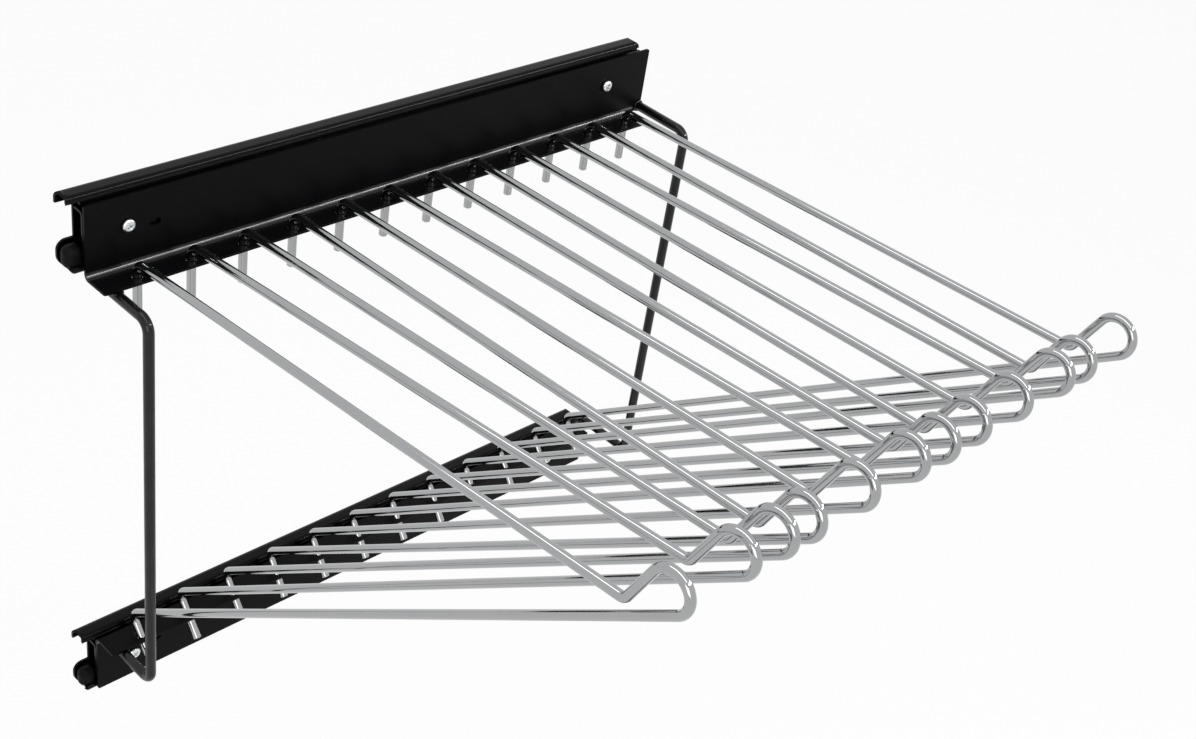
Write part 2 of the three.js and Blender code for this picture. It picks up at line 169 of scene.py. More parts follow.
class RackRodSettings(bpy.types.PropertyGroup):
    """The rods that join the two carriers"""

    bar: length("Bar", "Diameter of the rods", 6)
    sides: count("Sides", "Facets round the rods", 28)
    bend: length("Bend", "Bend radius of the rods", 7)
    chamfer: length("Chamfer", "Chamfer of the rods' ends", 0.4)
    bead: length("Bead", "Thickness of a weld bead", 1.5)
    seam: length("Seam", "Length of the weld beads beside the rear rod", 13)
    ripples: count("Ripples", "Ripples along a weld bead", 9)


class RackRailSettings(bpy.types.PropertyGroup):
    """The ball rails"""

    sheet: length("Sheet", "Thickness of the rail members", 1.5)
    bend: length("Bend", "Bend radius of the middle and inner members", 1.6)
    lip_bend: length("Lip Bend", "Bend radius of the outer member's edges towards the room", 1.7)
    web_bend: length("Web Bend", "Bend radius of the outer member's edges at the side panel", 4.25)
    hook: length("Hook", "Height of the outer member's rolled lip", 3.8)
    flare: length("Flare", "How far the lower edge of the lip is flared towards the room", 0.8)
    flare_rise: length("Flare Rise", "Height of the flared part of the lip", 0.9)
    flare_bend: length("Flare Bend", "Bend radius where the lip begins to flare", 0.9)
    end_round: length("End Round", "Rounding of the outer member's ends", 3)
    tab_round: length("Tab Round", "Rounding of the tab behind a buffer", 7)
    screw_hole: length("Screw Hole", "Diameter of the holes for the wall screws", 4.6)
    screw_rim: length("Screw Rim", "Diameter of the dimple round a wall screw's hole", 9)
    first_hole: length("First Hole", "From the front end to the first hole", 37)
    hole_pitch: length("Hole Pitch", "From one hole to the next", 128)
    holes: count("Holes", "Number of wall screw holes", 3)
    access_hole: length("Access Hole", "Diameter of the middle member's holes over the wall screws", 9)
    notch: length("Notch", "Depth of the notch in the web at the rear end", 14)
    notch_low: length("Notch Low", "From the rail's middle down to the notch's lower side", 7)
    notch_high: length("Notch High", "From the rail's middle up to the notch's upper side", 15)
    notch_round: length("Notch Round", "Rounding of the notch's inner corners", 5)
    buffer_side: length("Buffer Side", "Rounding of a buffer along its length", 4.4)
    buffer_nose: length("Buffer Nose", "Rounding of a buffer's rear end", 4.2)
    edge: length("Edge", "Rounding of the cut edges", 0.2)


class RackCageSettings(bpy.types.PropertyGroup):
    """The ball cages between the rail members"""

    sheet: length("Sheet", "Thickness of a cage", 0.6)
    bend: length("Bend", "Bend radius of an inner cage", 0.6)
    outer_bend: length("Outer Bend", "Bend radius of an outer cage", 2)
    ball: length("Ball", "Diameter of the balls", 2.6)
    balls: count("Balls", "Balls in each row", 6)
    pocket: length("Pocket", "Diameter of the ball pockets", 2.3)
    margin: length("Margin", "From the ends of a cage to the first and last balls", 8)
    outer_spare: length("Outer Spare", "How far an outer cage's arm passes its balls", 1.2)
    inner_spare: length("Inner Spare", "How far an inner cage's arm passes its balls", 0.5)


class RackFinishSettings(bpy.types.PropertyGroup):
    """Colours and gloss"""

    paint: colour("Paint", "Black powder coat of carriers and rods", 0.0022, 0.0022, 0.0026)
    paint_gloss: factor("Paint Roughness", "Roughness of the powder coat", 0.36)
    enamel: colour("Enamel", "Black finish of the rails", 0.002, 0.002, 0.0025)
    enamel_gloss: factor("Enamel Roughness", "Roughness of the rails", 0.2)
    chrome: colour("Chrome", "Plating of the hangers", 0.4, 0.405, 0.41)
    chrome_gloss: factor("Chrome Roughness", "Roughness of the plating", 0.07)
    zinc: colour("Zinc", "Plating of the screws", 0.78, 0.77, 0.73)
    steel: colour("Steel", "Bare steel of the ball cages", 0.6, 0.61, 0.62)
    rubber: colour("Rubber", "Rubber of the buffers", 0.002, 0.002, 0.002)


class RackStudioSettings(bpy.types.PropertyGroup):
    """Camera, lamps and floor"""

    eye_place: FloatVectorProperty(
        name="Camera",
        description="Where the camera stands",
        default=(0.67936, -0.58043, 0.46312),
        unit="LENGTH",
    )
    pan: angle("Pan", "Turn of the camera about the vertical", 38.629)
    tilt: angle("Tilt", "Tilt of the camera up from straight down", 54.742)
    roll: angle("Roll", "Turn of the camera about its own axis", 10.786)
    lens: FloatProperty(
        name="Lens", description="Focal length for 36 mm wide film", default=52.26, unit="CAMERA"
    )
    shift_x: FloatProperty(name="Shift X", description="Sideways shift, in picture widths", default=-0.02145)
    shift_y: FloatProperty(name="Shift Y", description="Upward shift, in picture widths", default=0.03847)
    floor_drop: length("Floor Drop", "From the rack's lowest point down to the floor", 550)
    floor_size: length("Floor Size", "Length of the floor's sides", 9000)
    floor: colour("Floor", "Colour of the floor", 0.88, 0.88, 0.88)
    floor_glow: factor("Floor Glow", "How white the floor shows apart from its shadows", 0.93)
    horizon: factor("Horizon", "How white the room shows beyond the floor", 0.96)
    dark: factor("Dark", "Light of the room just above the horizon", 0.04)
    ceiling: factor("Ceiling", "Light of the room overhead", 0.55)
    key: factor("Key", "Power of the long lamp over the rack, in watts", 9)
    fill: factor("Fill", "Power of the lamp beside the camera, in watts", 5)
    rim: factor("Rim", "Power of the thin lamp along the room's far side, in watts", 14)


# Modelling

def select_only(*objects):
    if bpy.context.mode != "OBJECT":
        bpy.ops.object.mode_set(mode="OBJECT")
    bpy.ops.object.select_all(action="DESELECT")
    for item in objects:
        item.select_set(True)
    bpy.context.view_layer.objects.active = objects[0] if objects else None


def add_primitive(name, operator, scale=(1, 1, 1), **settings):
    """Adds a primitive as a new piece whose place and size are in its mesh"""
    select_only()
    operator(**settings)
    piece = bpy.context.object
    piece.name = piece.data.name = name
    piece.scale = scale
    bpy.ops.object.transform_apply(location=True, rotation=True, scale=True)
    return piece


def add_block(name, sides, place):
    return add_primitive(name, bpy.ops.mesh.primitive_cube_add, scale=sides, size=1, location=place)


def add_disc(name, sides, radius, place, rotation=(0, 0, 0), fill="NGON"):
    return add_primitive(
        name,
        bpy.ops.mesh.primitive_circle_add,
        vertices=sides,
        radius=radius,
        fill_type=fill,
        location=place,
        rotation=rotation,
    )


class Editing:
    """Edit mode on one piece, with nothing selected at first"""

    def __init__(self, piece):
        self.piece = piece

    def __enter__(self):
        select_only(self.piece)
        bpy.ops.object.mode_set(mode="EDIT")
        bpy.ops.mesh.select_all(action="DESELECT")
        return self

    def __exit__(self, *problem):
        bpy.ops.object.mode_set(mode="OBJECT")

    def pick(self, kind, test):
        """Selects only the vertices, edges or faces that pass a test"""
        bpy.ops.mesh.select_all(action="DESELECT")
        bpy.ops.mesh.select_mode(type={"verts": "VERT", "edges": "EDGE", "faces": "FACE"}[kind])
        mesh = bmesh.from_edit_mesh(self.piece.data)
        for item in getattr(mesh, kind):
            if test(item):
                item.select_set(True)
        mesh.select_flush_mode()
        bmesh.update_edit_mesh(self.piece.data)

    def pick_all(self):
        bpy.ops.mesh.select_all(action="SELECT")

    def face_outward(self):
        self.pick_all()
        bpy.ops.mesh.normals_make_consistent(inside=False)

    def round_off(self, radius, segments=ROUND_STEPS):
        bpy.ops.mesh.bevel(offset=radius, segments=segments, affect="EDGES")


def extrude(step):
    bpy.ops.mesh.extrude_region_move(TRANSFORM_OT_translate={"value": step})


class Former:
    """Carries the selected ring or edge along, as a bending machine feeds wire or folds sheet"""

    def __init__(self, at, heading, hinge):
        self.at = Vector(at)
        self.heading = Vector(heading).normalized()
        self.hinge = Vector(hinge)

    def run(self, distance):
        step = self.heading * distance
        extrude(step)
        self.at += step

    def bend(self, radius, turn):
        inward = self.hinge.cross(self.heading) * math.copysign(radius, turn)
        centre = self.at + inward
        steps = max(3, math.ceil(abs(turn) / BEND_STEP))
        bpy.ops.mesh.spin(steps=steps, angle=-turn, center=centre, axis=self.hinge)
        rotation = Matrix.Rotation(turn, 3, self.hinge)
        self.at = centre - rotation @ inward
        self.heading = rotation @ self.heading

    def follow(self, corners, *radii):
        """Runs to each corner in turn and bends there, and stops at the last one"""
        for corner, after, radius in zip(corners, corners[1:], radii):
            way_out = (after - corner).normalized()
            turn = math.atan2(self.hinge.dot(self.heading.cross(way_out)), self.heading.dot(way_out))
            setback = radius * math.tan(abs(turn) / 2)
            self.run((corner - self.at).length - setback)
            self.bend(radius, turn)
        self.run((corners[-1] - self.at).length)


def apply_modifier(piece, kind, **settings):
    select_only(piece)
    modifier = piece.modifiers.new(kind.title(), kind)
    for key, value in settings.items():
        setattr(modifier, key, value)
    bpy.ops.object.modifier_apply(modifier=modifier.name)


def join(pieces):
    select_only(*pieces)
    if len(pieces) > 1:
        bpy.ops.object.join()
    return bpy.context.object


def cut_away(piece, cutters):
    tool = join(cutters)
    apply_modifier(piece, "BOOLEAN", operation="DIFFERENCE", object=tool, solver="EXACT")
    bpy.data.objects.remove(tool, do_unlink=True)


def drill(diameter, sheet, place, across, sides=32):
    """A round cutter along X or Z, through a sheet"""
    return add_primitive(
        "drill",
        bpy.ops.mesh.primitive_cylinder_add,
        vertices=sides,
        radius=diameter / 2,
        depth=sheet * DRILL_DEPTH_SHARE,
        location=place,
        rotation=TOWARDS_X if across == "X" else (0, 0, 0),
    )


def soften(piece, width):
    apply_modifier(piece, "BEVEL", width=width, segments=2, limit_method="ANGLE", angle_limit=SOFTENED_TURN)


def finish_piece(piece, body, node, material, smooth=35):
    """Shades a piece, gives it its material and ties it to the body and the node it stands for"""
    select_only(piece)
    bpy.ops.object.shade_smooth_by_angle(angle=math.radians(smooth))
    apply_modifier(piece, "WEIGHTED_NORMAL", keep_sharp=True)
    piece.data.materials.clear()
    piece.data.materials.append(finish_named(material))
    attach(piece, body)
    if node:
        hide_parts(node)


def copy_piece(piece, name, placing):
    twin = piece.copy()
    twin.data = piece.data.copy()
    twin.name = twin.data.name = name
    bpy.context.scene.collection.objects.link(twin)
    twin.data.transform(placing)
    return twin


def sweep_wire(name, start, heading, diameter, sides, chamfer, walk):
    """Bends a round wire with chamfered ends: a disc at its start is carried along by the walk"""
    heading = Vector(heading).normalized()
    turned = Vector((0, 0, 1)).rotation_difference(heading).to_euler()
    piece = add_disc(name, sides, diameter / 2 - chamfer, start, turned)
    grow = diameter / (diameter - 2 * chamfer)
    with Editing(piece) as edit:
        edit.pick_all()
        former = Former(start, heading, ALONG)
        former.run(chamfer)
        bpy.ops.transform.resize(value=(grow,) * 3, center_override=former.at)
        walk(former)
        former.run(chamfer)
        bpy.ops.transform.resize(value=(1 / grow,) * 3, center_override=former.at)
        edit.face_outward()
    return piece


def fold_strip(name, section, bends, rear, front, thickness):
    """Folds a strip of sheet that runs along Y: a plane on the section's first leg is carried along it"""
    stub = (section[1] - section[0]) * FIRST_STUB_SHARE
    middle = ALONG * (front + rear) / 2
    piece = add_primitive(
        name,
        bpy.ops.mesh.primitive_plane_add,
        scale=(stub.length, front - rear, 1),
        size=1,
        location=section[0] + stub / 2 + middle,
        rotation=(0, math.atan2(-stub.z, stub.x), 0),
    )
    reached = section[0] + stub

    def is_leading(edge):
        return all((corner.co - reached).dot(stub) > -(stub.length**2) / 2 for corner in edge.verts)

    with Editing(piece) as edit:
        edit.pick("edges", is_leading)
        Former(reached, stub, ALONG).follow(section[1:], *bends)
    apply_modifier(piece, "SOLIDIFY", thickness=thickness, offset=0, use_even_offset=True)
    with Editing(piece) as edit:
        edit.face_outward()
    return piece


def point(x, z):
    return Vector((x, 0, z))


# Places taken from the solids

def low(node):
    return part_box(node)[0]


def high(node):
    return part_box(node)[1]


def middle_of(node):
    return (low(node) + high(node)) / 2


def screw_middles(level):
    """The middles of a level's carrier screws, by their names"""
    names = [name for name in frame["nodes"] if name.startswith(f"carrier_screw_{level}")]
    return {name: middle_of(name) for name in names}


def joint_of(body):
    return next(joint for joint in frame["joints"] if joint["child"] == body)


def hanger_names():
    return sorted(node for node in frame["nodes"] if node.startswith("hanger_"))


def hanger_placing(node):
    """Where a hanger's swivel axis stands, and how far the hanger is swung at rest"""
    axis = Vector(joint_of(node)["pos_m"])
    reaches = [(vertex.co - axis).xy for vertex in frame["nodes"][node].data.vertices]
    farthest = max(reach.length for reach in reaches)
    tip = sum((reach for reach in reaches if reach.length > TIP_REACH_SHARE * farthest), Vector((0, 0)))
    return Matrix.Translation(axis) @ Matrix.Rotation(math.atan2(tip.y, tip.x), 4, "Z")


def flange_top(level):
    sheet = bpy.context.scene.rack_sheet.sheet
    return low("carrier_upper").z + sheet if level == "upper" else high("carrier_lower").z


# Materials

FOLD_SHINE_SHARES = (1.02, 1.12)
BLUISH_SHARES = (0.9, 0.96, 1.08)


class Shade:
    """A socket that does sums: an expression with it adds the Math nodes"""

    def __init__(self, tree, link=None):
        self.tree = tree
        self.link = link

    def node(self, kind, inputs=None, output=0, **settings):
        """Adds a node, sets it up, then fills or links its sockets, and gives one of its outputs"""
        made = self.tree.nodes.new(kind)
        for key, value in settings.items():
            setattr(made, key, value)
        for key, value in (inputs or {}).items():
            if isinstance(value, Shade):
                self.tree.links.new(value.link, made.inputs[key])
            else:
                made.inputs[key].default_value = value
        return Shade(self.tree, made.outputs[output])

    def sum(self, operation, first, second):
        return self.node("ShaderNodeMath", {0: first, 1: second}, operation=operation)

    def __add__(self, other):
        return self.sum("ADD", self, other)

    def __sub__(self, other):
        return self.sum("SUBTRACT", self, other)

    def __rsub__(self, other):
        return self.sum("SUBTRACT", other, self)

    def __mul__(self, other):
        return self.sum("MULTIPLY", self, other)

    def blend(self, first, second):
        """Mixes two colours by this value"""
        return self.node("ShaderNodeMix", {0: self, 6: first, 7: second}, output=2, data_type="RGBA")

    def noise(self, place, scale, detail, roughness=0.5):
        inputs = {"Vector": place, "Scale": scale, "Detail": detail, "Roughness": roughness}
        return self.node("ShaderNodeTexNoise", inputs)

    def ramp(self, start, end):
        """Black where this value is up to the start, and white from the end on"""
        made = self.node("ShaderNodeValToRGB", {"Fac": self})
        for stop, position in zip(made.link.node.color_ramp.elements, (start, end)):
            stop.position = position
        return made

    def stretched(self, along=1):
        """Object coordinates with a scale of their own along the rails"""
        place = self.node("ShaderNodeTexCoord", output="Object")
        return self.node("ShaderNodeMapping", {"Vector": place, "Scale": (1, along, 1)})

    def bump(self, height, strength, distance):
        return self.node("ShaderNodeBump", {"Height": height, "Strength": strength, "Distance": distance})


def new_material(name):
    material = bpy.data.materials.new(name)
    material.use_nodes = True
    material.node_tree.nodes.clear()
    return material, Shade(material.node_tree)


def show_surface(material, shade, surface):
    output = shade.tree.nodes.new("ShaderNodeOutputMaterial")
    shade.tree.links.new(surface.link, output.inputs["Surface"])
    return material


def principled(material, shade, inputs):
    return show_surface(material, shade, shade.node("ShaderNodeBsdfPrincipled", inputs))


def opaque(tone, strength=1.0):
    return tuple(part * strength for part in tone) + (1,)


def black_coat(name, finish, specular, polish):
    """Black powder coat: a fine orange peel, slightly cloudy gloss and a few dust nibs"""
    material, shade = new_material(name)
    place = shade.stretched()
    clouds = shade.noise(place, scale=55, detail=4)
    peel = shade.noise(place, scale=1100, detail=3, roughness=0.6)
    nibs = shade.noise(place, scale=2600, detail=0).ramp(0.72, 0.8)
    inputs = {
        "Base Color": clouds.blend(opaque(finish.paint), opaque(finish.paint, 1.8)),
        "Roughness": clouds * 0.1 + peel * 0.06 + (finish.paint_gloss - 0.08),
        "Normal": shade.bump(peel + nibs * 0.6, strength=0.1, distance=0.06 * MILLIMETRE),
        "Specular IOR Level": specular,
    }
    return principled(material, shade, {**inputs, **polish(shade, place)})


def powder_coat(finish):
    """The carriers' coat, rubbed to a shine in the fold by the hangers"""
    def rubbed_folds(shade, place):
        size = bpy.context.scene.rack_sheet
        across, height = (shade.node("ShaderNodeSeparateXYZ", {0: place}, axis) for axis in "XZ")
        inner = size.fold - size.sheet / 2
        near, far = ((inner * share) ** 2 for share in FOLD_SHINE_SHARES)
        shine = 0.0
        for level, upward in LEVELS.items():
            off_x = across - (low(f"carrier_{level}").x + size.sheet / 2 + size.fold)
            off_z = height - (flange_top(level) - size.sheet / 2 + upward * size.fold)
            reach = {"Value": off_x * off_x + off_z * off_z, "From Min": near, "From Max": far}
            reach.update({"To Min": 1.0, "To Max": 0.0})
            shine = shade.node("ShaderNodeMapRange", reach) + shine
        return {"Coat Weight": shine, "Coat Roughness": 0.28, "Coat IOR": 1.8}

    return black_coat("black_powder_coat", finish, 0.05, rubbed_folds)


def rod_coat(finish):
    """The same paint on the smooth round rods, where it comes out glossier"""
    def thin_gloss(shade, place):
        return {"Coat Weight": shade.noise(place, scale=90, detail=3) * 0.3 + 0.35, "Coat Roughness": 0.12}

    return black_coat("glossy_powder_coat", finish, 0.1, thin_gloss)


def rail_enamel(finish):
    """Glossy black on roll-formed steel: faint draw lines along the rail and small scuffs"""
    material, shade = new_material("black_rail_enamel")
    drawn = shade.noise(shade.stretched(0.012), scale=1500, detail=3)
    clouds = shade.noise(shade.stretched(), scale=40, detail=4)
    scuffs = shade.noise(shade.stretched(0.15), scale=420, detail=5, roughness=0.7).ramp(0.62, 0.78)
    return principled(material, shade, {
        "Base Color": scuffs.blend(opaque(finish.enamel), opaque(finish.enamel, 2.5)),
        "Roughness": clouds * 0.1 + scuffs * 0.14 + (finish.enamel_gloss - 0.05),
        "Normal": shade.bump(drawn, strength=0.1, distance=0.06 * MILLIMETRE),
        "Specular IOR Level": 0.09,
    })


def bright_chrome(finish):
    """Chrome on drawn wire: slightly milky haze, faint finger marks and long drawing ripples"""
    material, shade = new_material("bright_chrome")
    place = shade.stretched()
    haze = shade.noise(place, scale=30, detail=3)
    marks = shade.noise(place, scale=160, detail=4).ramp(0.55, 0.75)
    ripple = shade.noise(place, scale=420, detail=2)
    return principled(material, shade, {
        "Base Color": haze.blend(opaque(finish.chrome), opaque(finish.chrome, 0.93)),
        "Metallic": 1.0,
        "Roughness": haze * 0.05 + marks * 0.06 + (finish.chrome_gloss - 0.025),
        "Normal": shade.bump(ripple, strength=0.06, distance=0.05 * MILLIMETRE),
    })


def bright_zinc(finish):
    """Zinc plate on a screw: a fine grain with a touch of blue and yellow"""
    material, shade = new_material("bright_zinc")
    place = shade.stretched()
    hue = shade.noise(place, scale=260, detail=2)
    grain = shade.noise(place, scale=3800, detail=3)
    bluish = [part * share for part, share in zip(finish.zinc, BLUISH_SHARES)]
    return principled(material, shade, {
        "Base Color": hue.blend(opaque(finish.zinc), opaque(bluish)),
        "Metallic": 1.0,
        "Roughness": grain * 0.14 + 0.2,
        "Normal": shade.bump(grain, strength=0.12, distance=0.05 * MILLIMETRE),
    })


def bare_steel(finish):
    """Oiled bright steel strip and balls, with fine rolling lines"""
    material, shade = new_material("oiled_bare_steel")
    lines = shade.noise(shade.stretched(0.03), scale=2200, detail=2)
    oil = shade.noise(shade.stretched(), scale=120, detail=4)
    return principled(material, shade, {
        "Base Color": oil.blend(opaque(finish.steel), opaque(finish.steel, 0.82)),
        "Metallic": 1.0,
        "Roughness": oil * 0.16 + lines * 0.08 + 0.12,
        "Normal": shade.bump(lines, strength=0.08, distance=0.04 * MILLIMETRE),
    })


def matt_rubber(finish):
    """Moulded black rubber with a dull bloom"""
    material, shade = new_material("moulded_rubber")
    place = shade.stretched()
    bloom = shade.noise(place, scale=300, detail=5, roughness=0.6)
    grain = shade.noise(place, scale=3000, detail=3)
    return principled(material, shade, {
        "Base Color": bloom.blend(opaque(finish.rubber), opaque(finish.rubber, 2.2)),
        "Roughness": bloom * 0.2 + 0.45,
        "Normal": shade.bump(grain, strength=0.2, distance=0.08 * MILLIMETRE),
        "Specular IOR Level": 0.1,
    })


def finish_named(name):
    """Makes each material once, the first time that a piece asks for it"""
    makers = {
        "black_powder_coat": powder_coat,
        "glossy_powder_coat": rod_coat,
        "black_rail_enamel": rail_enamel,
        "bright_chrome": bright_chrome,
        "bright_zinc": bright_zinc,
        "oiled_bare_steel": bare_steel,
        "moulded_rubber": matt_rubber,
    }
    return bpy.data.materials.get(name) or makers[name](bpy.context.scene.rack_finish)


# Operators

def mirrored(section):
    """A rail's whole section from its upper half"""
    return section + [point(corner.x, -corner.z) for corner in reversed(section)]


def raised(section, height):
    return [corner + point(0, height) for corner in section]


def middle_height(node):
    return (low(node).z + high(node).z) / 2


class RackHangers(bpy.types.Operator):
    """Bend one wire hanger and hang twelve copies of it in the carriers"""

    bl_idname = "rack.hangers"
    bl_label = "Wire Hangers"

    def execute(self, context):
        size = context.scene.rack_wire
        pattern = self.bend_wire(size, flange_top("upper") - flange_top("lower"))
        for node in hanger_names():
            piece = copy_piece(pattern, node.replace("hanger", "wire_hanger"), hanger_placing(node))
            finish_piece(piece, node, node, "bright_chrome", smooth=40)
        bpy.data.objects.remove(pattern, do_unlink=True)
        return {"FINISHED"}

    def bend_wire(self, size, drop):
        """The hanger in its own plane: its pin on the Z axis, the upper flange's top at height 0"""
        sheet = bpy.context.scene.rack_sheet.sheet
        lean = math.tan(size.strut)
        kick_way = point(math.cos(size.kick), math.sin(size.kick))
        from_kick = point(math.sin(size.kick), -math.cos(size.kick))
        from_strut = point(-math.sin(size.strut), math.cos(size.strut))
        dip = point(size.dip_reach, size.dip_rise)
        foot = point(-(size.foot_rise + sheet / 2) * lean, size.foot_rise - drop)
        tail_end = point((size.tail - sheet / 2) * lean, -drop - size.tail)
        climb = size.eye * (1 - from_kick.dot(from_strut)) - (dip - foot).dot(from_strut)
        kick_end = dip + kick_way * (climb / kick_way.dot(from_strut))

        def walk(former):
            former.follow([point(0, size.corner_rise), dip, kick_end], size.corner_bend, size.dip_bend)
            former.bend(size.eye, math.pi + size.kick - size.strut)
            former.follow([foot, tail_end], size.foot_bend)

        start = point(0, -size.pin)
        return sweep_wire("hanger_pattern", start, (0, 0, 1), size.wire, size.sides, size.end_round, walk)


class RackCarriers(bpy.types.Operator):
    """Fold the two carriers and punch their holes"""

    bl_idname = "rack.carriers"
    bl_label = "Folded Carriers"

    def execute(self, context):
        for level in LEVELS:
            self.fold(level, context.scene.rack_sheet)
        return {"FINISHED"}

    def fold(self, level, size):
        node = f"carrier_{level}"
        upward = LEVELS[level]
        back, end = low(node), high(node)
        half = size.sheet / 2
        top = flange_top(level)
        section = [
            point(back.x + half, top + upward * size.plate),
            point(back.x + half, top - half),
            point(end.x, top - half),
        ]
        piece = fold_strip(f"folded_carrier_{level}", section, [size.fold], back.y, end.y, size.sheet)
        sides = (end.x - back.x, size.cutback * 2, size.fold * 2)
        place = (end.x - (end.x - back.x) / 2 + size.sheet, end.y, top - half)
        cut_away(piece, [add_block("cutback", sides, place)])
        self.round_corners(piece, size)
        cut_away(piece, self.punches(level, size, back.x + half, top))
        soften(piece, size.edge)
        finish_piece(piece, "carriage", node, "black_powder_coat")

    def round_corners(self, piece, size):
        """Rounds the sheet's outer corners in the face of the sheet"""
        with Editing(piece) as edit:
            edit.pick("edges", lambda edge: self.is_corner(edge, size))
            edit.round_off(size.corner, segments=5)

    def is_corner(self, edge, size):
        """An edge as long as the sheet is thick, where two straight cut edges meet"""
        is_thick = abs(edge.calc_length() - size.sheet) < size.sheet / 100
        return is_thick and len(edge.link_faces) == 2 and edge.calc_face_angle(0) > CORNER_TURN

    def punches(self, level, size, plate_x, top):
        upward = LEVELS[level]
        hole = size.pin_hole if level == "upper" else size.tail_hole
        cutters = []
        for node in hanger_names():
            place = joint_of(node)["pos_m"]
            cutters.append(drill(hole, size.sheet, (place[0], place[1], top - size.sheet / 2), "Z"))
        middles = screw_middles(level)
        for middle in middles.values():
            cutters.append(drill(size.screw_hole, size.sheet, (plate_x, middle.y, middle.z), "X"))
        rear = middles[f"carrier_screw_{level}_rear"]
        slot = (plate_x, rear.y + size.slot_shift, rear.z - upward * size.slot_drop)
        cutters.append(self.slot_punch(size, slot))
        return cutters

    def slot_punch(self, size, place):
        """A punch with round ends: a cylinder whose two halves are moved apart"""
        pull = size.slot_length - size.slot_width
        punch = drill(size.slot_width, size.sheet, place, "X")
        with Editing(punch) as edit:
            edit.pick("verts", lambda corner: corner.co.y > place[1])
            bpy.ops.transform.translate(value=(0, pull / 2, 0))
            edit.pick("verts", lambda corner: corner.co.y <= place[1])
            bpy.ops.transform.translate(value=(0, -pull / 2, 0))
        return punch


class RackScrews(bpy.types.Operator):
    """Turn one pan-head screw with a cross recess and copy it to its four places"""

    bl_idname = "rack.screws"
    bl_label = "Carrier Screws"

    next_turn = math.radians(37)
    tip_share = 0.8
    root_share = 0.86
    recess_taper_share = 0.55

    def execute(self, context):
        size = context.scene.rack_screw
        nodes = sorted(node for node in frame["nodes"] if node.startswith("carrier_screw_"))
        pattern = self.turn(size, low(nodes[0]).x, high(nodes[0]).x)
        for node in nodes:
            middle = middle_of(node)
            turned = Matrix.Rotation(self.next_turn * nodes.index(node), 4, "X")
            placing = Matrix.Translation((0, middle.y, middle.z)) @ turned
            piece = copy_piece(pattern, node.replace("carrier", "pan_head"), placing)
            finish_piece(piece, "carriage", node, "bright_zinc", smooth=30)
        bpy.data.objects.remove(pattern, do_unlink=True)
        return {"FINISHED"}

    def turn(self, size, tip, top):
        """Extrudes and widens a disc along the screw: tip, threads, underhead and crown"""
        shank = size.shank / 2
        head = size.head / 2
        base = top - size.head_height
        stations = [(tip, shank * self.tip_share)]
        x = tip + size.thread / 2
        while x < base - size.thread:
            stations += [(x, shank), (x + size.thread / 2, shank * self.root_share)]
            x += size.thread
        stations += [(base, shank), (base, head - size.rim), (base + size.rim, head)]
        stations.append((top - size.crown, head))
        for step in range(1, ROUND_STEPS + 1):
            lean = math.radians(90) * step / ROUND_STEPS
            crown = (top - size.crown + size.crown * math.sin(lean), head - size.dome * (1 - math.cos(lean)))
            stations.append(crown)
        piece = add_disc("screw_pattern", size.sides, stations[0][1], (tip, 0, 0), TOWARDS_X)
        with Editing(piece) as edit:
            edit.pick_all()
            for (x, radius), (before, last) in zip(stations[1:], stations):
                extrude((x - before, 0, 0))
                bpy.ops.transform.resize(value=(1, radius / last, radius / last), center_override=(x, 0, 0))
            edit.face_outward()
        for turned in (False, True):
            cut_away(piece, [self.driver_tip(size, top, turned)])
        soften(piece, size.edge)
        return piece

    def driver_tip(self, size, top, turned):
        """One wing of the cross: a block that narrows towards the bottom of the recess"""
        across = (size.recess_length, size.recess_width)
        sides = (size.recess_depth * 2, *(across[::-1] if turned else across))
        narrowing = (1, self.recess_taper_share, self.recess_taper_share)
        wing = add_block("driver_wing", sides, (top, 0, 0))
        with Editing(wing) as edit:
            edit.pick("faces", lambda face: face.normal.x < -FACING)
            bpy.ops.transform.resize(value=narrowing, center_override=(top, 0, 0))
        return wing


